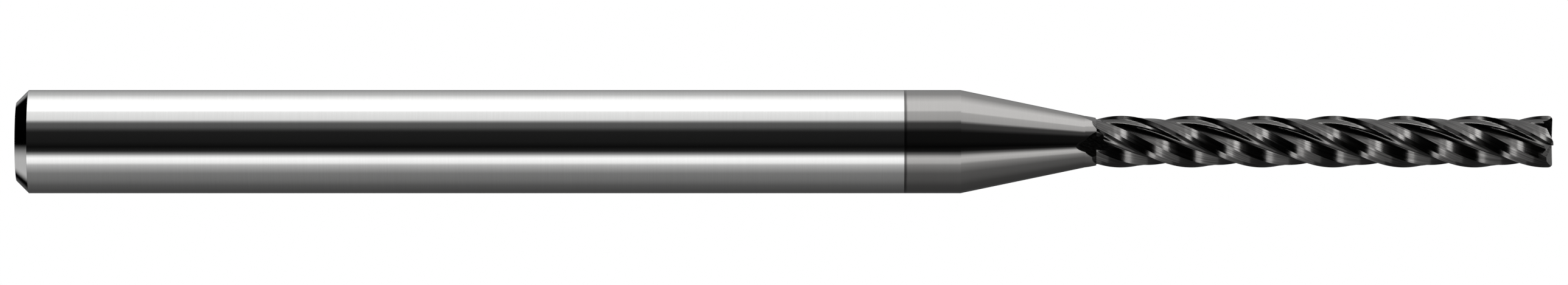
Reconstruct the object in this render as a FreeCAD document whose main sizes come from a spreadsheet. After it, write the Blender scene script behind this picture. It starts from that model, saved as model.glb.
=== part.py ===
import FreeCAD, Part
import Sketcher
import math
import os

# Four-flute solid carbide end mill: a ground round shank, a coated front part and a small helical cutter.
# Millimetres. The tool axis is X with the tip towards +X, and the origin is the middle of the rear face.
# An angle in a cross-section runs about +X from +Y towards +Z, which is also the way a tooth cuts.
# The carbide is one piece: each sub-part is one ground zone of it, and zones meet face to face.

doc = FreeCAD.newDocument("end_mill")

# ------------------------------------------------------------------ driving sizes
SIZES = [
    ("overall_length", 47.04),
    ("shank_dia", 3.175),
    ("back_chamfer", 0.38),
    ("coating_edge_x", 27.16),
    ("taper_start_x", 28.89),
    ("taper_end_x", 32.69),
    ("tooth_start_x", 33.04),
    ("cutter_dia", 1.5875),
    ("helix_lead", 8.667),
    ("tip_edge_angle", 98.96),
    ("primary_radius", 0.749),
    ("primary_angle", 12.0),
    ("heel_radius", 0.716),
    ("heel_angle", 34.0),
    ("ridge_radius", 0.625),
    ("ridge_angle", 19.6),
    ("rake_foot_radius", 0.659),
    ("rake_foot_angle", 7.0),
    ("root_radius", 0.506),
    ("root_angle", 26.2),
    ("core_radius", 0.460),
    ("corner_radius", 0.127),
    ("corner_setback", 0.02),
    ("dish_angle", 1.5),
    ("end_relief_angle", 5.0),
    ("end_relief_lead", 0.22),
    ("end_relief_width", 0.11),
    ("end_clearance_angle", 26.0),
    ("gash_start_depth", 0.04),
    ("gash_slope", 38.0),
    ("gash_opening", 40.0),
    ("gash_turn", 22.5),
    ("runout_start_x", 32.41),
    ("runout_slope", 16.3),
    ("runout_turn", 41.9),
    ("runout_radius", 0.70),
    ("runout_end_x", 33.75),
    ("land_start_x", 32.90),
    ("land_slope", 22.0),
    ("land_turn", -17.9),
    ("tool_reach", 1.2),
]
dims = doc.addObject("Spreadsheet::Sheet", "dims")
for row, (alias, value) in enumerate(SIZES, start=1):
    dims.set(f"A{row}", alias)
    dims.set(f"B{row}", f"{value}")
    dims.setAlias(f"B{row}", alias)
doc.recompute()

TEETH = 4
PITCH_ANGLE = 360.0 / TEETH
AXIS = FreeCAD.Vector(1, 0, 0)
HORIZONTAL, VERTICAL = "DistanceX", "DistanceY"
START, END, CENTRE = 1, 2, 3


def size(alias):
    """The number in the sheet under this alias."""
    return float(dims.get(alias))


def polar(radius, angle):
    """A point of a sketch that lies across the axis."""
    turn = math.radians(angle)
    return FreeCAD.Vector(radius * math.cos(turn), radius * math.sin(turn), 0)


def origin_plane(body, role):
    """One of a body's own origin planes."""
    return next(feature for feature in body.Origin.OriginFeatures if feature.Role == role)


def new_body(name):
    body = doc.addObject("PartDesign::Body", name)
    body.Label = name
    return body


def new_sketch(body, name, role):
    sketch = body.newObject("Sketcher::SketchObject", name)
    sketch.AttachmentSupport = (origin_plane(body, role), [""])
    sketch.MapMode = "FlatFace"
    return sketch


def drive(sketch, expression, kind, *what):
    """Adds one dimension to a sketch and binds it to the sheet; the first value comes from the geometry."""
    index = sketch.addConstraint(Sketcher.Constraint(kind, *what))
    sketch.setExpression(f"Constraints[{index}]", expression)


def pin_point(sketch, geometry, end, x, y, along, up):
    """Fixes one point of a sketch by two dimensions from the sketch's origin."""
    drive(sketch, along, HORIZONTAL, -1, 1, geometry, end, x)
    drive(sketch, up, VERTICAL, -1, 1, geometry, end, y)


def closed_outline(sketch, points):
    """Straight edges through the points, each joined to the next, with every corner driven by its formulas.

    A point is (x, y, formula of x, formula of y).
    """
    ring = points[1:] + points[:1]
    for here, there in zip(points, ring):
        first, last = FreeCAD.Vector(here[0], here[1], 0), FreeCAD.Vector(there[0], there[1], 0)
        sketch.addGeometry(Part.LineSegment(first, last))
    for number in range(len(points)):
        after = (number + 1) % len(points)
        sketch.addConstraint(Sketcher.Constraint("Coincident", number, END, after, START))
    for number, (x, y, along, up) in enumerate(points):
        pin_point(sketch, number, START, x, y, along, up)


def spun(body, sketch, name):
    """A full revolution of the sketch about its own horizontal axis."""
    turn = body.newObject("PartDesign::Revolution", name)
    turn.Profile = sketch
    turn.ReferenceAxis = (sketch, ["H_Axis"])
    turn.Angle = 360.0
    return turn


def padded(body, sketch, name, length):
    pad = body.newObject("PartDesign::Pad", name)
    pad.Profile = sketch
    pad.setExpression("Length", length)
    return pad


def place(item, x, angle):
    """Binds an object's position along the axis and its turn about the axis."""
    item.Placement = FreeCAD.Placement(FreeCAD.Vector(1, 0, 0), FreeCAD.Rotation(AXIS, 10))
    item.setExpression("Placement.Base.x", x)
    item.setExpression("Placement.Rotation.Angle", angle)


def round_bar(name, diameter, start, end):
    """A round bar along the axis, from start to end."""
    body = new_body(name)
    sketch = new_sketch(body, f"{name}_circle", "YZ_Plane")
    sketch.addGeometry(Part.Circle(FreeCAD.Vector(0, 0, 0), FreeCAD.Vector(0, 0, 1), 1.0))
    sketch.addConstraint(Sketcher.Constraint("Coincident", 0, CENTRE, -1, 1))
    drive(sketch, diameter, "Diameter", 0, 2.0)
    padded(body, sketch, f"{name}_pad", f"{end} - {start}")
    body.setExpression("Placement.Base.x", start)
    return body


# ------------------------------------------------------------------ shank, coated band
shank = round_bar("shank", "dims.shank_dia", "0", "dims.coating_edge_x")
coated_band = round_bar("coated_band", "dims.shank_dia", "dims.coating_edge_x", "dims.taper_start_x")
doc.recompute()
rear_edge = next(
    f"Edge{number}"
    for number, edge in enumerate(shank.Shape.Edges, start=1)
    if edge.Closed and abs(edge.BoundBox.Center.x) < 1e-6 and edge.BoundBox.XLength < 1e-6
)
chamfer = shank.newObject("PartDesign::Chamfer", "rear_chamfer")
chamfer.Base = (shank.getObject("shank_pad"), [rear_edge])
chamfer.setExpression("Size", "dims.back_chamfer")
shank.Tip = chamfer

# ------------------------------------------------------------------ tooth section
# One tooth fills a quarter of the cross-section. Its cutting edge lies on the sketch's horizontal axis.
# Behind the edge are two relief flats; ahead of it are the rake land, a second flat up to a ridge, a short
# wall down to the root of the flute, and the next tooth's back, which rises from the root to its heel.
edge_radius = size("cutter_dia") / 2


def arc_between(centre, first, last):
    """The counter-clockwise arc from first to last."""
    spoke_a, spoke_b = first - centre, last - centre
    circle = Part.Circle(centre, FreeCAD.Vector(0, 0, 1), spoke_a.Length)
    angle_a = math.atan2(spoke_a.y, spoke_a.x)
    angle_b = math.atan2(spoke_b.y, spoke_b.x)
    if angle_b < angle_a:
        angle_b += 2 * math.pi
    return Part.ArcOfCircle(circle, angle_a, angle_b)


def section_corner(radius, angle, turn=0.0):
    """A corner of the tooth section with its formulas: radius and angle are aliases of the sheet."""
    sign = -1 if angle.startswith("-") else 1
    point = polar(size(radius), sign * size(angle.lstrip("-")) + turn)
    formula = f"({angle.replace('-', '-dims.') if sign < 0 else 'dims.' + angle} + {turn})"
    return point, f"dims.{radius} * cos({formula})", f"dims.{radius} * sin({formula})"


def tooth_sketch(body, name):
    sketch = new_sketch(body, name, "YZ_Plane")
    edge = (polar(edge_radius, 0), "dims.cutter_dia / 2", "0")
    relief_end = section_corner("primary_radius", "-primary_angle")
    heel = section_corner("heel_radius", "-heel_angle")
    root_behind = section_corner("root_radius", "root_angle", -PITCH_ANGLE)
    core_behind = section_corner("core_radius", "root_angle", -PITCH_ANGLE)
    core_ahead = section_corner("core_radius", "root_angle")
    root_ahead = section_corner("root_radius", "root_angle")
    ridge = section_corner("ridge_radius", "ridge_angle")
    rake_foot = section_corner("rake_foot_radius", "rake_foot_angle")
    corners = [
        edge, relief_end, heel, root_behind, core_behind, core_ahead, root_ahead, ridge, rake_foot
    ]
    bottom = 4
    for number, here in enumerate(corners):
        there = corners[(number + 1) % len(corners)]
        if number == bottom:
            sketch.addGeometry(arc_between(FreeCAD.Vector(0, 0, 0), here[0], there[0]))
        else:
            sketch.addGeometry(Part.LineSegment(here[0], there[0]))
    for number in range(len(corners)):
        after = (number + 1) % len(corners)
        sketch.addConstraint(Sketcher.Constraint("Coincident", number, END, after, START))
    sketch.addConstraint(Sketcher.Constraint("Coincident", bottom, CENTRE, -1, 1))
    for number, (point, along, up) in enumerate(corners):
        if number == bottom + 1:
            drive(sketch, up, VERTICAL, -1, 1, number, START, point.y)
        else:
            pin_point(sketch, number, START, point.x, point.y, along, up)
    return sketch


# ------------------------------------------------------------------ teeth, swept along the helix
flute_length = "dims.overall_length - dims.tooth_start_x"
lead_helix = doc.addObject("Part::Helix", "lead_helix")
lead_helix.Placement = FreeCAD.Placement(
    FreeCAD.Vector(0, 0, 0), FreeCAD.Rotation(FreeCAD.Vector(0, 1, 0), 90)
)
lead_helix.setExpression("Pitch", "dims.helix_lead")
lead_helix.setExpression("Height", flute_length)
lead_helix.setExpression("Radius", "dims.cutter_dia")
doc.recompute()
start_angle = f"dims.tip_edge_angle - 360 * ({flute_length}) / dims.helix_lead"


def tooth_blank(number):
    """One tooth with its two relief flats and its halves of the flutes, square at both ends."""
    name = f"tooth_{number}_blank"
    body = new_body(name)
    section = tooth_sketch(body, f"{name}_section")
    spine = new_sketch(body, f"{name}_spine", "XY_Plane")
    length = size("overall_length") - size("tooth_start_x")
    spine.addGeometry(Part.LineSegment(FreeCAD.Vector(0, 0, 0), FreeCAD.Vector(length, 0, 0)))
    spine.addConstraint(Sketcher.Constraint("Coincident", 0, START, -1, 1))
    spine.addConstraint(Sketcher.Constraint("Horizontal", 0))
    drive(spine, flute_length, HORIZONTAL, 0, START, 0, END, length)
    doc.recompute()
    sweep = body.newObject("PartDesign::AdditivePipe", f"{name}_sweep")
    sweep.Profile = section
    sweep.Spine = (spine, ["Edge1"])
    sweep.Mode = "Auxiliary"
    sweep.AuxiliarySpine = (lead_helix, ["Edge1"])
    sweep.AuxiliaryCurvilinear = False
    doc.recompute()
    return body


core_blank = round_bar(
    "flute_core_blank", "2 * dims.core_radius", "dims.tooth_start_x", "dims.overall_length"
)

# ------------------------------------------------------------------ end grinding
# Each end tooth falls away from the foot of its rake land by a narrow relief and a steeper clearance, dished
# towards the middle, and a gash ahead of it opens the flute into the end face, clear of the rake land.
# One ring, set back by what the relief takes off the corner, rounds all the corners.
# In a tool's own frame X points out of the tip, Y runs out along the end edge and Z points ahead of it.
relief_tool = new_body("relief_tool")
relief_section = new_sketch(relief_tool, "relief_section", "XZ_Plane")
reach = size("tool_reach")
width = size("end_relief_width")
lead = size("end_relief_lead")
drop = (lead + width) * math.tan(math.radians(size("end_relief_angle")))
deep = drop + (reach - width) * math.tan(math.radians(size("end_clearance_angle")))
drop_formula = "(dims.end_relief_lead + dims.end_relief_width) * tan(dims.end_relief_angle)"
deep_formula = (
    f"{drop_formula} + (dims.tool_reach - dims.end_relief_width) * tan(dims.end_clearance_angle)"
)
closed_outline(
    relief_section,
    [
        (0, lead, "0", "dims.end_relief_lead"),
        (-drop, -width, f"-{drop_formula}", "-dims.end_relief_width"),
        (-deep, -reach, f"-({deep_formula})", "-dims.tool_reach"),
        (reach, -reach, "dims.tool_reach", "-dims.tool_reach"),
        (reach, lead, "dims.tool_reach", "dims.end_relief_lead"),
    ],
)
padded(relief_tool, relief_section, "relief_pad", "dims.tool_reach").Reversed = True

gash_tool = new_body("gash_tool")
gash_section = new_sketch(gash_tool, "gash_section", "XZ_Plane")
opening = reach * math.tan(math.radians(size("gash_opening")))
closed_outline(
    gash_section,
    [
        (0, 0, "0", "0"),
        (reach, 0, "dims.tool_reach", "0"),
        (reach, opening, "dims.tool_reach", "dims.tool_reach * tan(dims.gash_opening)"),
    ],
)
padded(gash_tool, gash_section, "gash_pad", "dims.tool_reach").Reversed = True

corner_tool = new_body("corner_tool")
corner_section = new_sketch(corner_tool, "corner_section", "XZ_Plane")
tip, corner = size("overall_length"), size("corner_radius")
face = tip - size("corner_setback")
arc_start = FreeCAD.Vector(face, edge_radius - corner, 0)
arc_end = FreeCAD.Vector(face - corner, edge_radius, 0)
outer = [
    arc_end,
    FreeCAD.Vector(face - corner, edge_radius + reach, 0),
    FreeCAD.Vector(tip + reach, edge_radius + reach, 0),
    FreeCAD.Vector(tip + reach, edge_radius - corner, 0),
    arc_start,
]
arc_middle = FreeCAD.Vector(face - corner, edge_radius - corner, 0)
corner_section.addGeometry(arc_between(arc_middle, arc_start, arc_end))
for here, there in zip(outer, outer[1:]):
    corner_section.addGeometry(Part.LineSegment(here, there))
for number in range(5):
    corner_section.addConstraint(Sketcher.Constraint("Coincident", number, END, (number + 1) % 5, START))
for number, kind in [(1, "Vertical"), (2, "Horizontal"), (3, "Vertical"), (4, "Horizontal")]:
    corner_section.addConstraint(Sketcher.Constraint(kind, number))
pin_point(
    corner_section, 0, CENTRE, face - corner, edge_radius - corner,
    "dims.overall_length - dims.corner_setback - dims.corner_radius",
    "dims.cutter_dia / 2 - dims.corner_radius",
)
drive(corner_section, "dims.corner_radius", "Radius", 0, corner)
pin_point(
    corner_section, 2, END, tip + reach, edge_radius + reach,
    "dims.overall_length + dims.tool_reach", "dims.cutter_dia / 2 + dims.tool_reach",
)
drive(
    corner_section, "dims.overall_length - dims.corner_setback - dims.corner_radius",
    HORIZONTAL, -1, 1, 1, START, face - corner,
)
drive(
    corner_section, "dims.cutter_dia / 2 - dims.corner_radius",
    VERTICAL, -1, 1, 4, END, edge_radius - corner,
)
spun(corner_tool, corner_section, "corner_ring")
doc.recompute()


def end_tool(source, name, tilt, angle):
    """One grinding shape set at an end edge of the cutter."""
    item = doc.addObject("Part::Feature", name)
    item.Shape = source.Shape.copy()
    seat = FreeCAD.Placement(FreeCAD.Vector(tip, 0, 0), FreeCAD.Rotation(AXIS, angle))
    item.Placement = seat.multiply(tilt)
    return item


dish = FreeCAD.Rotation(FreeCAD.Vector(0, 0, 1), -size("dish_angle"))
dish_pivot = FreeCAD.Vector(0, edge_radius, 0)
dish_seat = FreeCAD.Placement(dish_pivot - dish.multVec(dish_pivot), dish)
gash_seat = FreeCAD.Placement(
    FreeCAD.Vector(-size("gash_start_depth"), 0, 0),
    FreeCAD.Rotation(FreeCAD.Vector(0, 0, 1), size("gash_slope")),
)
end_tools = [corner_tool]
for number in range(TEETH):
    angle = size("tip_edge_angle") + number * PITCH_ANGLE
    end_tools.append(end_tool(relief_tool, f"relief_{number + 1}", dish_seat, angle))
    gash_angle = angle + size("gash_turn")
    end_tools.append(end_tool(gash_tool, f"gash_{number + 1}", gash_seat, gash_angle))
end_grinding = doc.addObject("Part::MultiFuse", "end_grinding")
end_grinding.Shapes = end_tools
doc.recompute()


def ground(name, blank, tool):
    """A zone of the tool: its blank with the ground-off shape removed."""
    cut = doc.addObject("Part::Cut", name)
    cut.Label = name
    cut.Base = blank
    cut.Tool = tool
    return cut


nodes = {"shank": shank, "coated_band": coated_band}
nodes["flute_core"] = ground("flute_core", core_blank, end_grinding)
cutter_blanks = [core_blank]
for number in range(TEETH):
    blank = tooth_blank(number + 1)
    place(blank, "dims.tooth_start_x", f"{start_angle} + {number * PITCH_ANGLE}")
    nodes[f"tooth_{number + 1}"] = ground(f"tooth_{number + 1}", blank, end_grinding)
    cutter_blanks.append(blank)
doc.recompute()

# ------------------------------------------------------------------ taper with the flute run-outs
# Each flute rises out of the cutter on one long sloping flat that ends on the taper, and each land starts
# with a short flat of its own. Past the first teeth the neck goes on as the raised floor of the flutes.
taper = new_body("neck_taper_blank")
taper_section = new_sketch(taper, "taper_section", "XZ_Plane")
shank_radius = size("shank_dia") / 2
closed_outline(
    taper_section,
    [
        (size("taper_start_x"), 0, "dims.taper_start_x", "0"),
        (size("taper_start_x"), shank_radius, "dims.taper_start_x", "dims.shank_dia / 2"),
        (size("taper_end_x"), edge_radius, "dims.taper_end_x", "dims.cutter_dia / 2"),
        (size("tooth_start_x"), edge_radius, "dims.tooth_start_x", "dims.cutter_dia / 2"),
        (size("tooth_start_x"), 0, "dims.tooth_start_x", "0"),
    ],
)
spun(taper, taper_section, "taper_turn")
raised_floor = round_bar(
    "raised_floor", "2 * dims.runout_radius", "dims.tooth_start_x", "dims.runout_end_x"
)

# The block that grinds a flat: the flat is its face at Z = 0, X runs along the tool and Z points out of it.
flat_tool = new_body("flat_tool")
flat_section = new_sketch(flat_tool, "flat_section", "XZ_Plane")
closed_outline(
    flat_section,
    [
        (-reach, 0, "-dims.tool_reach", "0"),
        (2 * reach, 0, "2 * dims.tool_reach", "0"),
        (2 * reach, reach, "2 * dims.tool_reach", "dims.tool_reach"),
        (-reach, reach, "-dims.tool_reach", "dims.tool_reach"),
    ],
)
padded(flat_tool, flat_section, "flat_pad", "2 * dims.tool_reach").Midplane = True
doc.recompute()

start_turn = size("tip_edge_angle") - 360 * (tip - size("tooth_start_x")) / size("helix_lead")
taper_fall = (shank_radius - edge_radius) / (size("taper_end_x") - size("taper_start_x"))
runout_height = edge_radius + taper_fall * (size("taper_end_x") - size("runout_start_x"))


def flat_seat(angle, x, height, slope):
    """A flat that faces this angle, leaves the surface at x and sinks towards the tip."""
    middle = FreeCAD.Placement(FreeCAD.Vector(x, 0, 0), FreeCAD.Rotation(AXIS, angle - 90))
    tilt = FreeCAD.Rotation(FreeCAD.Vector(0, 1, 0), slope)
    return middle.multiply(FreeCAD.Placement(FreeCAD.Vector(0, 0, height), tilt))


def ring_of_flats(name, seat):
    """The same flat four times round the tool, as one tool for grinding."""
    items = []
    for number in range(TEETH):
        item = doc.addObject("Part::Feature", f"{name}_{number + 1}")
        item.Shape = flat_tool.Shape.copy()
        item.Placement = FreeCAD.Placement(
            FreeCAD.Vector(0, 0, 0), FreeCAD.Rotation(AXIS, number * PITCH_ANGLE)
        ).multiply(seat)
        items.append(item)
    ring = doc.addObject("Part::MultiFuse", name)
    ring.Shapes = items
    return ring


land_starts = ring_of_flats("land_starts", flat_seat(
    start_turn + size("land_turn"), size("land_start_x"), edge_radius, size("land_slope")
))
flute_runouts = ring_of_flats("flute_runouts", flat_seat(
    start_turn + size("runout_turn"), size("runout_start_x"), runout_height, size("runout_slope")
))
neck_bar = doc.addObject("Part::MultiFuse", "neck_bar")
neck_bar.Shapes = [ground("taper_with_lands", taper, land_starts), raised_floor]
neck = ground("neck_with_runouts", neck_bar, flute_runouts)
for number, blank in enumerate(cutter_blanks):
    neck = ground(f"neck_less_{number}", neck, blank)
neck.Label = "neck_taper"
nodes["neck_taper"] = neck
doc.recompute()

# ------------------------------------------------------------------ checks and files
failed = [item.Name for item in doc.Objects if {"Invalid", "Error"} & set(item.State)]
if failed:
    raise RuntimeError(f"these objects did not compute: {failed}")
for name, item in nodes.items():
    if item.Shape.isNull() or not item.Shape.isValid() or item.Shape.Volume <= 0:
        raise RuntimeError(f"{name} has no sound shape")
    if len(item.Shape.Solids) != 1:
        raise RuntimeError(f"{name} is {len(item.Shape.Solids)} solids, not one")

os.makedirs("parts", exist_ok=True)
for name, item in nodes.items():
    item.Shape.exportStep(f"parts/{name}.step")
    print(name, f"{item.Shape.Volume:.4f} mm3")
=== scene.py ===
import math

import bmesh
import bpy
from mathutils import Matrix, Vector


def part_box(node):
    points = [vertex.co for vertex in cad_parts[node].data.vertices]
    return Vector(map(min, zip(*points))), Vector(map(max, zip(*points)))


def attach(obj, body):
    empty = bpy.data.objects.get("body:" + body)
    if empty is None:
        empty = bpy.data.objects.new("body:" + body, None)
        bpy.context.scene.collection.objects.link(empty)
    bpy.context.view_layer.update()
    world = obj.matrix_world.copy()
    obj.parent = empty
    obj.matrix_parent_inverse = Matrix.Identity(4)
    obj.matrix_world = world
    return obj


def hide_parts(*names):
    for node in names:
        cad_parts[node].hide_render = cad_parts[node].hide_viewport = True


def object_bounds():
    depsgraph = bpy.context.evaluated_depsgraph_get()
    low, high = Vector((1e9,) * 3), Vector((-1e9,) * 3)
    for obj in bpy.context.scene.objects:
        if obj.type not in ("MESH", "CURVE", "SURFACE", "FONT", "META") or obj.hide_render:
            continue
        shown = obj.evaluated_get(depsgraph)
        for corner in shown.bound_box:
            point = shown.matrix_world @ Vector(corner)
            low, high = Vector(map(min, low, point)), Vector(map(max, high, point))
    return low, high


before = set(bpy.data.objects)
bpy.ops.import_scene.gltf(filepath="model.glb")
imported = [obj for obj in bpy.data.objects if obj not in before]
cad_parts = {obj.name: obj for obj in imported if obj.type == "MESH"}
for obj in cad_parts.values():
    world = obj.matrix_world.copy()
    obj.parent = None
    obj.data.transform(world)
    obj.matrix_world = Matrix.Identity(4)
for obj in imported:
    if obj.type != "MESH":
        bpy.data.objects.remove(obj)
CAD_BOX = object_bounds()

bl_info = {
    "name": "Carbide end mill",
    "version": (1, 0, 0),
    "blender": (4, 5, 0),
    "location": "3D View > Sidebar > End mill",
    "description": "Builds a four-flute carbide end mill and the studio around it",
    "category": "Add Mesh",
}

MM = 0.001
TEETH = 4
PITCH_ANGLE = math.tau / TEETH
# What end grinding takes off the highest point of the tip.
GROUND_OFF = 0.01 * MM
TIP_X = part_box("tooth_1")[1][0] + GROUND_OFF
# How far the shapes that stand for grinding wheels reach past the tool.
TOOL_REACH = 1.2 * MM
CORE_STEPS = 12
CORNER_SIDES = 256
TAPER_RINGS = 90
NECK_RINGS = 8
FLOOR_OVERLAP = 0.3 * MM
CAMERA_HEIGHT = -0.026 * MM
STRIP_AWAY = 0.3
STRIP_LENGTH = 0.5
BAND_STRENGTH = 1.7
END_PANEL_STRENGTH = 0.7
WHITE = (1.0, 1.0, 1.0, 1.0)


# ------------------------------------------------------------------ sizes and colours a user would change
def length(label, text, default):
    return bpy.props.FloatProperty(
        name=label, description=text, default=default, unit="LENGTH", precision=6, min=0.0
    )


def angle(label, text, degrees):
    return bpy.props.FloatProperty(
        name=label, description=text, default=math.radians(degrees), subtype="ANGLE"
    )


def colour(label, text, default):
    return bpy.props.FloatVectorProperty(
        name=label, description=text, default=default, size=3, subtype="COLOR", min=0.0, max=1.0
    )


def amount(label, text, default, top=1.0):
    return bpy.props.FloatProperty(name=label, description=text, default=default, min=0.0, max=top)


class EndMillBar(bpy.types.PropertyGroup):
    """Sizes of the round stock: shank, coated band and taper."""

    chamfer: length("Rear chamfer", "Width of the 45 degree chamfer on the rear end", 0.38 * MM)
    edge_break: length("Edge break", "Rounding where two ground faces meet", 0.012 * MM)
    sides: bpy.props.IntProperty(
        name="Sides", description="Flat sides around the round stock", default=320, min=48
    )
    cutter_radius: length("Cutter radius", "Radius over the cutting edges", 0.79375 * MM)
    taper_end: length("Taper end", "Where the taper reaches the cutter's radius", 32.69 * MM)
    runout_start: length("Run-out start", "Where the flutes' run-outs leave the taper", 32.41 * MM)
    runout_slope: angle("Run-out slope", "Slope of the flats that the flutes run out on", 16.3)
    runout_turn: angle("Run-out turn", "How far those flats face ahead of the edges' start", 41.9)
    runout_radius: length("Raised floor radius", "Radius left under those flats", 0.70 * MM)
    runout_end: length("Run-out end", "Where the raised floor is used up", 33.75 * MM)
    land_start: length("Land start", "Where the lands start on the neck", 32.90 * MM)
    land_slope: angle("Land slope", "Slope of the flats that the lands start on", 22.0)
    land_turn: angle("Land turn", "How far those flats face from the edges' start", -17.9)


class EndMillCutter(bpy.types.PropertyGroup):
    """Sizes of the fluted part; radii are from the tool axis and angles from the cutting edge."""

    lead: length("Lead", "Length of one full turn of the flutes", 8.667 * MM)
    tip_angle: angle("Tip angle", "Where the first cutting edge meets the tip", 98.96)
    primary_radius: length("Relief radius", "Radius at the end of the first relief flat", 0.749 * MM)
    primary_angle: angle("Relief angle", "Width of the first relief flat", 12.0)
    heel_radius: length("Heel radius", "Radius at the tooth's heel", 0.716 * MM)
    heel_angle: angle("Heel angle", "Width of the whole land", 34.0)
    ridge_radius: length("Ridge radius", "Radius at the ridge in the flute", 0.625 * MM)
    ridge_angle: angle("Ridge angle", "How far the ridge lies ahead of the edge", 19.6)
    rake_foot_radius: length("Rake foot radius", "Radius at the foot of the rake land", 0.659 * MM)
    rake_foot_angle: angle("Rake foot angle", "How far that foot lies ahead of the edge", 7.0)
    ridge_round: length("Ridge rounding", "Rounding of the ridge in the flute", 0.13 * MM)
    root_radius: length("Root radius", "Radius at the root of the flute", 0.506 * MM)
    root_angle: angle("Root angle", "How far the root lies ahead of the edge", 26.2)
    core_radius: length("Core radius", "Radius of the solid core", 0.46 * MM)
    corner_radius: length("Corner radius", "Rounding at the corners of the tip", 0.127 * MM)
    dish: angle("Dish", "Fall of the end edges towards the middle", 1.5)
    corner_setback: length("Corner setback", "How far behind the tip the corner rounding ends", 0.02 * MM)
    end_relief: angle("End relief", "Fall of the narrow relief behind an end edge", 5.0)
    end_relief_lead: length("End relief lead", "How far ahead of the corner the relief starts", 0.22 * MM)
    end_relief_width: length("End relief width", "Width of that relief", 0.11 * MM)
    end_clearance: angle("End clearance", "Fall of the face behind the end relief", 26.0)
    gash_depth: length("Gash start depth", "Depth of the gashes at the tool axis", 0.04 * MM)
    gash_slope: angle("Gash slope", "Fall of the gash floors outwards", 38.0)
    gash_opening: angle("Gash opening", "Angle between a gash's two walls", 40.0)
    gash_turn: angle("Gash turn", "How far a gash lies ahead of the corner", 22.5)
    steps: bpy.props.IntProperty(
        name="Steps", description="Steps along the fluted length", default=420, min=60
    )


class EndMillFinish(bpy.types.PropertyGroup):
    """Colours and polish of the two finishes, and the painted shade that darkens the flutes."""

    bare: colour("Bare carbide", "Reflected colour of the ground carbide", (0.60, 0.60, 0.595))
    bare_roughness: amount("Bare roughness", "Roughness of the ground shank", 0.075)
    coat: colour("Coating", "Reflected colour of the hard coating", (0.275, 0.27, 0.265))
    coat_roughness: amount("Coating roughness", "Roughness of the coated surfaces", 0.06)
    # Painted shade: how much darker the flutes' coating is painted than the same coating on the neck.
    flute_painted_shade: amount("Flute shade", "Brightness of the flutes against the neck", 0.2)
    streaks: amount("Flute streaks", "Strength of the wheel marks in the flutes", 0.5)


class EndMillStudio(bpy.types.PropertyGroup):
    """Camera and studio."""

    distance: length("Camera distance", "From the lens to the tool axis", 0.40)
    view_width: length("View width", "Width of the view at the tool axis", 48.0 * MM)
    centre_x: length("View centre", "Where the camera looks along the tool", 23.49 * MM)
    floor_size: length("Floor size", "Side of the square floor", 1.2)
    brightness: amount("Brightness", "Strength of the studio lights", 1.0, 10.0)


# ------------------------------------------------------------------ shader building blocks
class Sock:
    """A node socket that takes part in arithmetic."""

    def __init__(self, shader, socket):
        self.shader, self.socket = shader, socket

    def _math(self, operation, *values):
        return self.shader.node("ShaderNodeMath", {"operation": operation}, values)[0]

    def __add__(self, other):
        return self._math("ADD", self, other)

    def __sub__(self, other):
        return self._math("SUBTRACT", self, other)

    def __rsub__(self, other):
        return self._math("SUBTRACT", other, self)

    def __mul__(self, other):
        return self._math("MULTIPLY", self, other)

    def __truediv__(self, other):
        return self._math("DIVIDE", self, other)

    __radd__ = __add__
    __rmul__ = __mul__

    def function(self, operation, *values):
        return self._math(operation, self, *values)

    def smooth(self, low, high):
        """0 below low, 1 above high, with a soft step between."""
        settings = {"interpolation_type": "SMOOTHSTEP"}
        return self.shader.node("ShaderNodeMapRange", settings, {0: self, 1: low, 2: high})[0]


class Shader:
    """Builds one node tree; every node comes from node()."""

    def __init__(self, tree):
        self.tree = tree
        tree.nodes.clear()

    def node(self, kind, settings=None, values=()):
        made = self.tree.nodes.new(kind)
        for name, setting in (settings or {}).items():
            if name == "stops":
                self._stops(made.color_ramp, setting)
            else:
                setattr(made, name, setting)
        pairs = values.items() if isinstance(values, dict) else enumerate(values)
        for key, value in pairs:
            if isinstance(value, Sock):
                self.tree.links.new(value.socket, made.inputs[key])
            else:
                made.inputs[key].default_value = value
        return [Sock(self, socket) for socket in made.outputs]

    @staticmethod
    def _stops(ramp, stops):
        while len(ramp.elements) > 1:
            ramp.elements.remove(ramp.elements[-1])
        for number, (place, shade) in enumerate(stops):
            element = ramp.elements[0] if number == 0 else ramp.elements.new(place)
            element.position = place
            element.color = (*shade, 1.0)


def new_material(name):
    """An empty material and the shader that builds its nodes."""
    material = bpy.data.materials.new(name)
    material.use_nodes = True
    return material, Shader(material.node_tree)


def object_axes(shader):
    """The X, Y and Z of a point on the piece, in millimetres."""
    point = shader.node("ShaderNodeTexCoord")[3]
    axes = shader.node("ShaderNodeSeparateXYZ", values=[point])
    return [axis * (1 / MM) for axis in axes]


def marks(shader, x, y, z, detail=2.0, roughness=0.5):
    """Noise between 0 and 1 at a place given by three numbers."""
    place = shader.node("ShaderNodeCombineXYZ", values=[x, y, z])[0]
    settings = {"noise_dimensions": "3D", "normalize": True}
    return shader.node(
        "ShaderNodeTexNoise",
        settings,
        {"Vector": place, "Scale": 1.0, "Detail": detail, "Roughness": roughness},
    )[0]


def ground_metal(shader, tint, roughness, height, strength):
    """A metal surface whose tint, roughness and fine relief follow the wheel's marks."""
    bump = shader.node(
        "ShaderNodeBump", values={"Strength": strength, "Distance": 0.001 * MM, "Height": height}
    )[0]
    surface = shader.node(
        "ShaderNodeBsdfPrincipled",
        values={"Base Color": tint, "Metallic": 1.0, "Roughness": roughness, "Normal": bump},
    )[0]
    shader.node("ShaderNodeOutputMaterial", values={"Surface": surface})


def shade_between(shader, mask, first, second):
    """A colour from first to second, each a tint or a socket, by a mask from 0 to 1."""
    first, second = [shade if isinstance(shade, Sock) else (*shade, 1.0) for shade in (first, second)]
    settings = {"data_type": "RGBA", "blend_type": "MIX"}
    return shader.node("ShaderNodeMix", settings, {"Factor": mask, 6: first, 7: second})[2]


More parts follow.
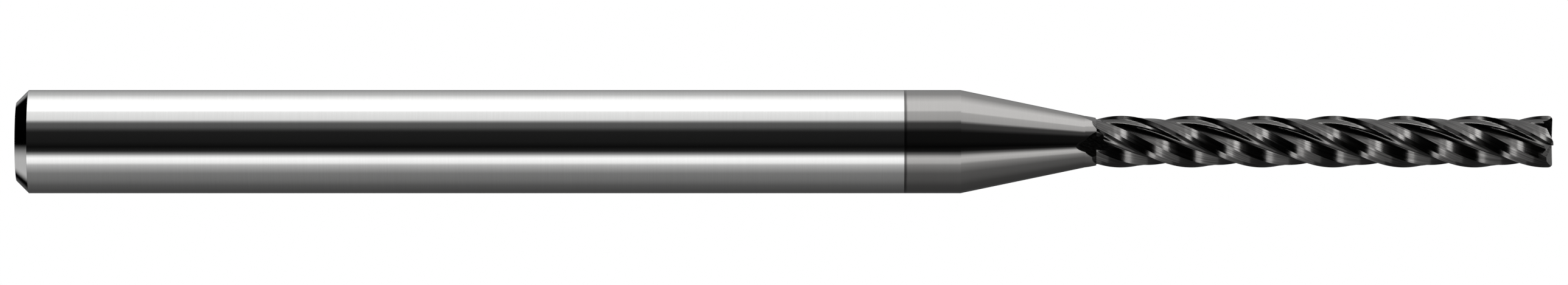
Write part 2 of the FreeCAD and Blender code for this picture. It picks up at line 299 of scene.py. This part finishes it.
def scaled(tint, factor):
    """The tint made darker or brighter, never past white."""
    return tuple(min(1.0, part * factor) for part in tint)


def bare_carbide(finish):
    """Centreless-ground carbide: fine rings around the bar, a hair of unevenness along it."""
    material, shader = new_material("bare_ground_carbide")
    x, y, z = object_axes(shader)
    rings = marks(shader, x * 38.0, y * 0.6, z * 0.6, detail=3.0)
    waves = marks(shader, x * 0.35, y * 0.9, z * 0.9)
    tint = shade_between(shader, rings, scaled(finish.bare, 0.94), scaled(finish.bare, 1.04))
    rough = rings * 0.03 + (finish.bare_roughness - 0.015) + waves * 0.02
    ground_metal(shader, tint, rough, rings, 0.05)
    return material


def coated_round(finish, edge):
    """The hard coating over ground round stock, with a darker line where it starts."""
    material, shader = new_material("coated_round_stock")
    x, y, z = object_axes(shader)
    rings = marks(shader, x * 30.0, y * 0.6, z * 0.6, detail=3.0)
    waver = marks(shader, 0.0, y * 0.8, z * 0.8) * 0.05
    past_edge = x - waver - edge / MM
    line = 1.0 - past_edge.smooth(0.02, 0.09)
    plain = shade_between(shader, rings, scaled(finish.coat, 0.96), scaled(finish.coat, 1.03))
    tint = shade_between(shader, line, plain, scaled(finish.coat, 0.35))
    rough = rings * 0.02 + (finish.coat_roughness - 0.01) + line * 0.1
    ground_metal(shader, tint, rough, rings, 0.02)
    return material


def wheel_marks(shader, x, y, z, lead):
    """Fine and broad marks that run along the helix, each between 0 and 1."""
    turn = x * (-math.tau / (lead / MM))
    cosine, sine = turn.function("COSINE"), turn.function("SINE")
    across = y * cosine - z * sine
    up = y * sine + z * cosine
    fine = marks(shader, x * 0.5, across * 26.0, up * 26.0, detail=4.0, roughness=0.65)
    broad = marks(shader, x * 0.8, across * 7.0, up * 7.0, detail=2.0)
    return fine, broad


def coated_flutes(finish, cutter):
    """The hard coating over flutes, painted darker than the neck's as painted shade: wheel marks run along
    the helix.
    """
    material, shader = new_material("coated_flutes")
    x, y, z = object_axes(shader)
    fine, broad = wheel_marks(shader, x, y, z, cutter.lead)
    # Painted shade: both tints are the coating painted darker than on the neck, standing in for dimmer
    # light on the cutter; the wheel marks pick between them.
    dark = scaled(finish.coat, finish.flute_painted_shade * 0.6)
    light = scaled(finish.coat, finish.flute_painted_shade * 1.5)
    tint = shade_between(shader, fine.smooth(0.3, 0.7), dark, light)
    rough = fine * 0.12 + broad * 0.10 + (finish.coat_roughness - 0.01)
    ground_metal(shader, tint, rough, fine + broad, finish.streaks)
    return material


def coated_neck(finish, cutter, bar, start, big):
    """The coating over the taper's turned surface, and over the flats ground into its small end, which are
    painted darker as painted shade.
    """
    material, shader = new_material("coated_neck")
    x, y, z = object_axes(shader)
    rings = marks(shader, x * 30.0, y * 0.6, z * 0.6, detail=3.0)
    fine, broad = wheel_marks(shader, x, y, z, cutter.lead)
    small = bar.cutter_radius / MM
    fall = (big / MM - small) / ((bar.taper_end - start) / MM)
    turned = (bar.taper_end / MM - x).function("MAXIMUM", 0.0) * fall + small
    radius = (y * y + z * z).function("SQRT")
    flat = (turned - radius).smooth(0.003, 0.010)
    smooth_tint = shade_between(shader, rings, scaled(finish.coat, 0.96), scaled(finish.coat, 1.03))
    # Painted shade: the flats' coating is painted much darker than the turned surface's, with lighter wheel
    # marks in it.
    dark, light = scaled(finish.coat, 0.12), scaled(finish.coat, 0.5)
    ground_marks_and_painted_shade_tint = shade_between(shader, fine.smooth(0.35, 0.7), dark, light)
    tint = shade_between(shader, flat, smooth_tint, ground_marks_and_painted_shade_tint)
    rough = rings * 0.02 + (finish.coat_roughness - 0.01) + flat * (fine * 0.05)
    height = rings * 0.03 + flat * fine * 0.4
    ground_metal(shader, tint, rough, height, finish.streaks)
    return material


# ------------------------------------------------------------------ mesh building blocks
def lathe(name, outline, sides, closed=False):
    """A mesh turned about the X axis from (x, radius) points; a radius of 0 makes a pole."""
    shape = bmesh.new()
    rows = []
    for x, radius in outline:
        if radius == 0:
            rows.append([shape.verts.new((x, 0, 0))])
            continue
        turns = (math.tau * k / sides for k in range(sides))
        rows.append([shape.verts.new((x, radius * math.cos(t), radius * math.sin(t))) for t in turns])
    pairs = list(zip(rows, rows[1:]))
    if closed:
        pairs.append((rows[-1], rows[0]))
    for first, second in pairs:
        for k in range(sides):
            n = (k + 1) % sides
            ring = [first[k % len(first)], first[n % len(first)]]
            ring += [second[n % len(second)], second[k % len(second)]]
            corners = list(dict.fromkeys(ring))
            if len(corners) > 2:
                shape.faces.new(corners)
    bmesh.ops.recalc_face_normals(shape, faces=shape.faces)
    return mesh_object(name, shape)


def mesh_object(name, shape):
    """A new object in the scene that holds the shape."""
    mesh = bpy.data.meshes.new(name)
    shape.to_mesh(mesh)
    shape.free()
    piece = bpy.data.objects.new(name, mesh)
    bpy.context.scene.collection.objects.link(piece)
    return piece


def prism(name, outline, depth):
    """A solid with a flat outline in its XZ plane, given as (x, z), that reaches depth along Y."""
    shape = bmesh.new()
    near = [shape.verts.new((x, 0, z)) for x, z in outline]
    far = [shape.verts.new((x, depth, z)) for x, z in outline]
    shape.faces.new(near)
    shape.faces.new(list(reversed(far)))
    for k in range(len(outline)):
        n = (k + 1) % len(outline)
        shape.faces.new((near[n], near[k], far[k], far[n]))
    bmesh.ops.recalc_face_normals(shape, faces=shape.faces)
    return mesh_object(name, shape)


def set_down(piece, placement):
    """Moves a piece's mesh, leaving its object at the origin."""
    piece.data.transform(placement)
    piece.data.update()
    return piece


def bake_modifiers(piece):
    """Turns what a piece's modifiers make into its plain mesh."""
    depsgraph = bpy.context.evaluated_depsgraph_get()
    made = bpy.data.meshes.new_from_object(piece.evaluated_get(depsgraph), depsgraph=depsgraph)
    old = piece.data
    piece.modifiers.clear()
    piece.data = made
    bpy.data.meshes.remove(old)


def combine(piece, others, operation):
    """Applies one Boolean for each of the others and stops if nothing is left."""
    for other in others:
        step = piece.modifiers.new(operation.lower(), "BOOLEAN")
        step.operation, step.solver, step.object = operation, "MANIFOLD", other
    bake_modifiers(piece)
    if not piece.data.polygons:
        raise RuntimeError(f"nothing is left of {piece.name}")


def grind_off(piece, tools):
    """Cuts the tools' shapes away from a piece."""
    combine(piece, tools, "DIFFERENCE")


def weld(piece, other):
    """Joins another solid to a piece."""
    combine(piece, [other], "UNION")


def discard(pieces):
    """Removes shapes that were only needed for cutting or joining."""
    for piece in pieces:
        mesh = piece.data
        bpy.data.objects.remove(piece)
        bpy.data.meshes.remove(mesh)


def finish_piece(piece, material, nodes, sharp):
    """Shading, finish and the frame's own facts about a piece."""
    shape = bmesh.new()
    shape.from_mesh(piece.data)
    bmesh.ops.remove_doubles(shape, verts=shape.verts, dist=1e-8)
    bmesh.ops.dissolve_degenerate(shape, edges=shape.edges, dist=1e-8)
    shape.to_mesh(piece.data)
    shape.free()
    piece.data.shade_smooth()
    piece.data.set_sharp_from_angle(angle=math.radians(sharp))
    piece.data.materials.clear()
    piece.data.materials.append(material)
    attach(piece, "root")
    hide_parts(*nodes)


def polar(radius, turn):
    """A point across the axis from its radius and angle."""
    return Vector((radius * math.cos(turn), radius * math.sin(turn)))


def rounded_corner(before, here, after, radius, count):
    """Points that replace a corner by a small rounding that touches both its sides."""
    a, b = (before - here).normalized(), (after - here).normalized()
    run = radius / math.tan(a.angle(b) / 2)
    run = min(run, (before - here).length / 2.5, (after - here).length / 2.5)
    first, last = here + a * run, here + b * run
    steps = (k / count for k in range(count + 1))
    return [first * (1 - t) ** 2 + here * 2 * t * (1 - t) + last * t * t for t in steps]


def rounded(outline, radius):
    """The outline with each of its inner corners rounded."""
    points = [Vector(p) for p in outline]
    inner = zip(points, points[1:], points[2:])
    rounds = [tuple(p) for corner in inner for p in rounded_corner(*corner, radius, 4)]
    return [outline[0], *rounds, outline[-1]]


def tooth_section(cutter, edge_radius):
    """One tooth's outline across the axis, with its cutting edge on the first axis."""
    behind = cutter.root_angle - PITCH_ANGLE
    points = [polar(edge_radius, 0.0)]
    points.append(polar(cutter.primary_radius, -cutter.primary_angle))
    points.append(polar(cutter.heel_radius, -cutter.heel_angle))
    points.append(polar(cutter.root_radius, behind))
    for step in range(CORE_STEPS + 1):
        points.append(polar(cutter.core_radius, behind + PITCH_ANGLE * step / CORE_STEPS))
    root = polar(cutter.root_radius, cutter.root_angle)
    ridge = polar(cutter.ridge_radius, cutter.ridge_angle)
    foot = polar(cutter.rake_foot_radius, cutter.rake_foot_angle)
    points.append(root)
    points += rounded_corner(root, ridge, foot, cutter.ridge_round, 8)
    points += rounded_corner(ridge, foot, points[0], cutter.ridge_round, 4)
    return points


# ------------------------------------------------------------------ the helical sweep, as Geometry Nodes
def sweep_tree():
    """A node group that sweeps a flat outline along X while it turns with the helix."""
    tree = bpy.data.node_groups.new("helical_sweep", "GeometryNodeTree")
    tree.interface.new_socket("Outline", in_out="INPUT", socket_type="NodeSocketGeometry")
    for name in ("Start", "End", "Lead", "Tip Angle"):
        tree.interface.new_socket(name, in_out="INPUT", socket_type="NodeSocketFloat")
    tree.interface.new_socket("Steps", in_out="INPUT", socket_type="NodeSocketInt")
    tree.interface.new_socket("Finish", in_out="INPUT", socket_type="NodeSocketMaterial")
    tree.interface.new_socket("Sweep", in_out="OUTPUT", socket_type="NodeSocketGeometry")
    build = Shader(tree)
    outline, start, end, lead, tip, steps, finish = build.node("NodeGroupInput")[:7]
    begin = build.node("ShaderNodeCombineXYZ", values=[start])[0]
    finish_at = build.node("ShaderNodeCombineXYZ", values=[end])[0]
    line = build.node("GeometryNodeCurvePrimitiveLine", values={"Start": begin, "End": finish_at})[0]
    path = build.node("GeometryNodeResampleCurve", {"mode": "COUNT"}, {"Curve": line, "Count": steps})[0]
    along = build.node("ShaderNodeSeparateXYZ", values=[build.node("GeometryNodeInputPosition")[0]])[0]
    turn = (along - end) / lead * math.tau + tip
    twisted = build.node("GeometryNodeSetCurveTilt", values={"Curve": path, "Tilt": turn})[0]
    profile = build.node("GeometryNodeMeshToCurve", values=[outline])[0]
    swept = build.node(
        "GeometryNodeCurveToMesh",
        values={"Curve": twisted, "Profile Curve": profile, "Fill Caps": True},
    )[0]
    real = build.node("GeometryNodeRealizeInstances", values=[swept])[0]
    done = build.node("GeometryNodeSetMaterial", values={"Geometry": real, "Material": finish})[0]
    build.node("NodeGroupOutput", values=[done])
    return tree


def outline_object(name, points):
    """A closed loop of edges, as a mesh for the sweep."""
    shape = bmesh.new()
    verts = [shape.verts.new((p.x, p.y, 0.0)) for p in points]
    for k, vert in enumerate(verts):
        shape.edges.new((vert, verts[(k + 1) % len(verts)]))
    return mesh_object(name, shape)


def swept(name, points, cutter, turn, material, tree):
    """A closed solid swept along the fluted length by the node group."""
    piece = outline_object(name, points)
    modifier = piece.modifiers.new("helical_sweep", "NODES")
    modifier.node_group = tree
    inputs = {item.name: item.identifier for item in tree.interface.items_tree if item.in_out == "INPUT"}
    start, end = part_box("tooth_1")[0][0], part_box("tooth_1")[1][0]
    values = {
        "Start": start,
        "End": end,
        "Lead": cutter.lead,
        "Tip Angle": turn,
        "Steps": cutter.steps,
        "Finish": material,
    }
    for label, value in values.items():
        modifier[inputs[label]] = value
    bake_modifiers(piece)
    return piece


# ------------------------------------------------------------------ operators
class ENDMILL_OT_shank(bpy.types.Operator):
    """Builds the bare ground shank with its rear chamfer"""

    bl_idname = "endmill.shank"
    bl_label = "Shank"

    def execute(self, context):
        bar, finish = context.scene.end_mill_bar, context.scene.end_mill_finish
        low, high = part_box("shank")
        radius = high[2]
        face = radius - bar.chamfer
        outline = [(low[0], 0.0), (low[0], face), (low[0] + bar.chamfer, radius), (high[0], radius)]
        outline = rounded(outline, bar.edge_break) + [(high[0], 0.0)]
        piece = lathe("ground_shank", outline, bar.sides)
        finish_piece(piece, bare_carbide(finish), ["shank"], 12.0)
        return {"FINISHED"}


class ENDMILL_OT_band(bpy.types.Operator):
    """Builds the coated front end of the full-diameter shank"""

    bl_idname = "endmill.band"
    bl_label = "Coated band"

    def execute(self, context):
        bar, finish = context.scene.end_mill_bar, context.scene.end_mill_finish
        low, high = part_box("coated_band")
        radius = high[2]
        outline = [(low[0], 0.0), (low[0], radius), (high[0], radius), (high[0], 0.0)]
        piece = lathe("coated_shank_band", outline, bar.sides)
        finish_piece(piece, coated_round(finish, low[0]), ["coated_band"], 12.0)
        return {"FINISHED"}


def flat_seat(turn, x, height, slope):
    """A flat that faces this angle, leaves the surface at x and sinks towards the tip."""
    facing = Matrix.Translation((x, 0.0, 0.0)) @ Matrix.Rotation(turn - math.pi / 2, 4, "X")
    return facing @ Matrix.Translation((0.0, 0.0, height)) @ Matrix.Rotation(slope, 4, "Y")


def ring_of_flats(name, seat):
    """Four blocks set round the axis; the lower face of each grinds one flat."""
    reach = TOOL_REACH
    outline = [(-reach, 0.0), (2 * reach, 0.0), (2 * reach, reach), (-reach, reach)]
    blocks = []
    for k in range(TEETH):
        block = prism(f"{name}_{k}", outline, 2 * reach)
        centred = seat @ Matrix.Translation((0.0, -reach, 0.0))
        blocks.append(set_down(block, Matrix.Rotation(k * PITCH_ANGLE, 4, "X") @ centred))
    return blocks


def edge_turn(cutter, x):
    """The angle of the first cutting edge at x."""
    return cutter.tip_angle + (x - TIP_X) / cutter.lead * math.tau


class ENDMILL_OT_neck(bpy.types.Operator):
    """Builds the taper and grinds the flute run-outs into its small end"""

    bl_idname = "endmill.neck"
    bl_label = "Tapered neck"

    def execute(self, context):
        scene = context.scene
        bar, cutter, finish = scene.end_mill_bar, scene.end_mill_cutter, scene.end_mill_finish
        start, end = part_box("neck_taper")[0][0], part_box("tooth_1")[0][0]
        big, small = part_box("coated_band")[1][2], bar.cutter_radius
        outline = [(start, 0.0)]
        for k in range(TAPER_RINGS + 1):
            t = k / TAPER_RINGS
            outline.append((start + (bar.taper_end - start) * t, big + (small - big) * t))
        for k in range(1, NECK_RINGS + 1):
            outline.append((bar.taper_end + (end - bar.taper_end) * k / NECK_RINGS, small))
        outline.append((end, 0.0))
        piece = lathe("tapered_neck", outline, bar.sides)
        turn = edge_turn(cutter, end)
        lands = ring_of_flats(
            "land_flat", flat_seat(turn + bar.land_turn, bar.land_start, small, bar.land_slope)
        )
        grind_off(piece, lands)
        floor_outline = [
            (end - FLOOR_OVERLAP, 0.0),
            (end - FLOOR_OVERLAP, bar.runout_radius),
            (bar.runout_end, bar.runout_radius),
            (bar.runout_end, 0.0),
        ]
        raised_floor = lathe("raised_floor", floor_outline, bar.sides)
        weld(piece, raised_floor)
        height = small + (big - small) * (bar.taper_end - bar.runout_start) / (bar.taper_end - start)
        runouts = ring_of_flats(
            "runout_flat", flat_seat(turn + bar.runout_turn, bar.runout_start, height, bar.runout_slope)
        )
        grind_off(piece, runouts)
        discard([*lands, raised_floor, *runouts])
        material = coated_neck(finish, cutter, bar, start, big)
        finish_piece(piece, material, ["neck_taper"], 2.5)
        return {"FINISHED"}


def end_tools(cutter, edge_radius):
    """The shapes that grinding takes off the tip: reliefs, gashes and the corner ring."""
    reach = TOOL_REACH
    width, lead = cutter.end_relief_width, cutter.end_relief_lead
    drop = (lead + width) * math.tan(cutter.end_relief)
    deep = drop + (reach - width) * math.tan(cutter.end_clearance)
    relief = [(0.0, lead), (-drop, -width), (-deep, -reach), (reach, -reach), (reach, lead)]
    gash = [(0.0, 0.0), (reach, 0.0), (reach, reach * math.tan(cutter.gash_opening))]
    pivot = Matrix.Translation((0.0, edge_radius, 0.0))
    dish_seat = pivot @ Matrix.Rotation(-cutter.dish, 4, "Z") @ pivot.inverted()
    gash_seat = Matrix.Translation((-cutter.gash_depth, 0.0, 0.0)) @ Matrix.Rotation(
        cutter.gash_slope, 4, "Z"
    )
    tools = []
    for k in range(TEETH):
        seat = Matrix.Translation((TIP_X, 0.0, 0.0)) @ Matrix.Rotation(
            cutter.tip_angle + k * PITCH_ANGLE, 4, "X"
        )
        tools.append(set_down(prism(f"relief_{k}", relief, reach), seat @ dish_seat))
        ahead = Matrix.Rotation(cutter.gash_turn, 4, "X")
        tools.append(set_down(prism(f"gash_{k}", gash, reach), seat @ ahead @ gash_seat))
    round_steps = 14
    corner = cutter.corner_radius
    face = TIP_X - cutter.corner_setback
    ring = []
    for k in range(round_steps + 1):
        t = math.pi / 2 * k / round_steps
        ring.append((face - corner + corner * math.cos(t), edge_radius - corner + corner * math.sin(t)))
    ring.append((face - corner, edge_radius + reach))
    ring.append((TIP_X + reach, edge_radius + reach))
    ring.append((TIP_X + reach, edge_radius - corner))
    tools.append(lathe("corner_ring", ring, CORNER_SIDES, closed=True))
    return tools


class ENDMILL_OT_cutter(bpy.types.Operator):
    """Builds the core and the four helical teeth and grinds the end teeth"""

    bl_idname = "endmill.cutter"
    bl_label = "Cutter"

    def execute(self, context):
        scene = context.scene
        bar, cutter, finish = scene.end_mill_bar, scene.end_mill_cutter, scene.end_mill_finish
        material = coated_flutes(finish, cutter)
        tree = sweep_tree()
        tools = end_tools(cutter, bar.cutter_radius)
        section = tooth_section(cutter, bar.cutter_radius)
        for k in range(TEETH):
            turn = cutter.tip_angle + k * PITCH_ANGLE
            piece = swept(f"cutter_tooth_{k + 1}", section, cutter, turn, material, tree)
            grind_off(piece, tools)
            finish_piece(piece, material, [f"tooth_{k + 1}"], 5.0)
        start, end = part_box("tooth_1")[0][0], TIP_X
        outline = [(start, 0.0), (start, cutter.core_radius), (end, cutter.core_radius), (end, 0.0)]
        core = lathe("cutter_core", outline, TEETH * CORE_STEPS)
        grind_off(core, tools)
        finish_piece(core, material, ["flute_core"], 5.0)
        discard(tools)
        bpy.data.node_groups.remove(tree)
        return {"FINISHED"}


# ------------------------------------------------------------------ studio
# Brightness of the studio around the tool, by the height in degrees of the direction it comes from:
# 0 is level towards the viewer, 90 straight up, 180 level behind the tool, and below the floor is negative.
STUDIO_BANDS = [
    (-180, 0.05),
    (-144, 0.05),
    (-116, 0.08),
    (-96, 0.14),
    (-76, 0.17),
    (-64, 0.29),
    (-54, 0.42),
    (-48, 0.80),
    (-38, 0.95),
    (-33, 0.70),
    (-28, 0.22),
    (-22, 0.015),
    (-12, 0.003),
    (0, 0.009),
    (22, 0.011),
    (27, 0.035),
    (32, 0.075),
    (42, 0.085),
    (46, 0.27),
    (50, 0.66),
    (70, 0.76),
    (74, 1.1),
    (100, 1.1),
    (108, 0.95),
    (118, 0.72),
    (130, 0.45),
    (150, 0.30),
    (180, 0.05),
]


def studio_world(studio):
    """Light from all round: bright strips along the tool above and below, dark cards between them."""
    world = bpy.data.worlds.new("studio")
    world.use_nodes = True
    shader = Shader(world.node_tree)
    axes = shader.node("ShaderNodeSeparateXYZ", values=[shader.node("ShaderNodeTexCoord")[0]])
    height = axes[2].function("ARCTAN2", axes[1] * -1.0)
    place = height * (1 / math.tau) + 0.5
    stops = [((degrees + 180) / 360, (value,) * 3) for degrees, value in STUDIO_BANDS]
    bands = shader.node("ShaderNodeValToRGB", {"stops": stops}, [place])[0]
    lit = axes[0].smooth(-0.52, -0.34) * (1.0 - axes[0].smooth(0.42, 0.65) * 0.8)
    behind = (0.0 - axes[0]).smooth(0.58, 0.78) * (0.0 - axes[2]).smooth(0.05, 0.35)
    ends = (axes[0].smooth(0.58, 0.78) + behind) * END_PANEL_STRENGTH
    strength = lit * (BAND_STRENGTH * studio.brightness)
    around = shader.node("ShaderNodeBackground", values={"Color": bands, "Strength": strength})[0]
    backdrop = shader.node("ShaderNodeBackground", values={"Color": WHITE, "Strength": 1.0})[0]
    seen = shader.node("ShaderNodeLightPath")[0]
    panels = shader.node("ShaderNodeBackground", values={"Color": WHITE, "Strength": ends})[0]
    around = shader.node("ShaderNodeAddShader", values=[around, panels])[0]
    mixed = shader.node("ShaderNodeMixShader", values=[seen, around, backdrop])[0]
    shader.node("ShaderNodeOutputWorld", values={"Surface": mixed})
    return world


# Long lights over and under the cutter: name, height of the middle, width in degrees, brightness.
STRIPS = [
    ("upper_strip", 54.0, 14.0, 5.5),
    ("upper_glow", 66.0, 26.0, 1.3),
    ("lower_strip", -36.0, 16.0, 3.6),
    ("lower_glow", -66.0, 44.0, 0.6),
]


def strip_light(name, height, spread, brightness, studio):
    """A long soft light along the tool, seen from it at this height and width."""
    light = bpy.data.lights.new(name, "AREA")
    light.shape = "RECTANGLE"
    light.size = STRIP_LENGTH
    light.size_y = 2 * STRIP_AWAY * math.tan(spread / 2)
    light.energy = brightness * math.pi * light.size * light.size_y
    strip = bpy.data.objects.new(name, light)
    direction = Vector((0.0, -math.cos(height), math.sin(height)))
    strip.location = direction * STRIP_AWAY + Vector((studio.centre_x, 0.0, 0.0))
    strip.rotation_euler = (math.pi / 2 - height, 0.0, 0.0)
    return strip


class ENDMILL_OT_stage(bpy.types.Operator):
    """Sets up the pale floor, the soft studio light and the camera"""

    bl_idname = "endmill.stage"
    bl_label = "Stage"

    def execute(self, context):
        scene, studio = context.scene, context.scene.end_mill_studio
        low = CAD_BOX[0]
        half = studio.floor_size / 2
        shape = bmesh.new()
        corners = [(-half, -half), (half, -half), (half, half), (-half, half)]
        shape.faces.new([shape.verts.new((x + studio.centre_x, y, low[2])) for x, y in corners])
        floor = mesh_object("studio_floor", shape)
        material, shader = new_material("pale_floor")
        glow = shader.node("ShaderNodeEmission", values={"Color": WHITE, "Strength": 1.0})[0]
        shader.node("ShaderNodeOutputMaterial", values={"Surface": glow})
        floor.data.materials.append(material)
        floor.visible_glossy = False
        floor.visible_diffuse = False

        scene.world = studio_world(studio)
        lit = bpy.data.collections.new("lit_by_strips")
        for name in ["cutter_core"] + [f"cutter_tooth_{k + 1}" for k in range(TEETH)]:
            lit.objects.link(bpy.data.objects[name])
        for name, height, spread, brightness in STRIPS:
            angles = math.radians(height), math.radians(spread)
            strip = strip_light(name, *angles, brightness * studio.brightness, studio)
            strip.light_linking.receiver_collection = lit
            strip.visible_camera = False
            scene.collection.objects.link(strip)
        camera = bpy.data.cameras.new("camera")
        camera.sensor_width = 36.0
        camera.lens = camera.sensor_width * studio.distance / studio.view_width
        camera.clip_end = 10.0
        holder = bpy.data.objects.new("camera", camera)
        holder.location = (studio.centre_x, -studio.distance, CAMERA_HEIGHT)
        holder.rotation_euler = (math.pi / 2, 0.0, 0.0)
        scene.collection.objects.link(holder)
        scene.camera = holder
        scene.view_settings.view_transform = "Standard"
        return {"FINISHED"}


class ENDMILL_PT_panel(bpy.types.Panel):
    """Lists the pieces, their sizes and finishes"""

    bl_label = "End mill"
    bl_idname = "ENDMILL_PT_panel"
    bl_space_type = "VIEW_3D"
    bl_region_type = "UI"
    bl_category = "End mill"

    def draw(self, context):
        for step in BUILD_STEPS:
            self.layout.operator(step.bl_idname)
        for group in GROUPS:
            settings = getattr(context.scene, group)
            for name in settings.bl_rna.properties.keys():
                if name not in {"rna_type", "name"}:
                    self.layout.prop(settings, name)


GROUPS = {
    "end_mill_bar": EndMillBar,
    "end_mill_cutter": EndMillCutter,
    "end_mill_finish": EndMillFinish,
    "end_mill_studio": EndMillStudio,
}
BUILD_STEPS = [ENDMILL_OT_shank, ENDMILL_OT_band, ENDMILL_OT_neck, ENDMILL_OT_cutter, ENDMILL_OT_stage]
CLASSES = [*GROUPS.values(), *BUILD_STEPS, ENDMILL_PT_panel]


def register():
    """Makes the pieces' operators, the panel and the settings known."""
    for item in CLASSES:
        bpy.utils.register_class(item)
    for name, group in GROUPS.items():
        setattr(bpy.types.Scene, name, bpy.props.PointerProperty(type=group))


def unregister():
    """Takes back what register did."""
    for name in GROUPS:
        delattr(bpy.types.Scene, name)
    for item in reversed(CLASSES):
        bpy.utils.unregister_class(item)


def main():
    """Builds the tool and the stage."""
    register()
    bpy.ops.endmill.shank()
    bpy.ops.endmill.band()
    bpy.ops.endmill.neck()
    bpy.ops.endmill.cutter()
    bpy.ops.endmill.stage()


if __name__ == "__main__":
    main()
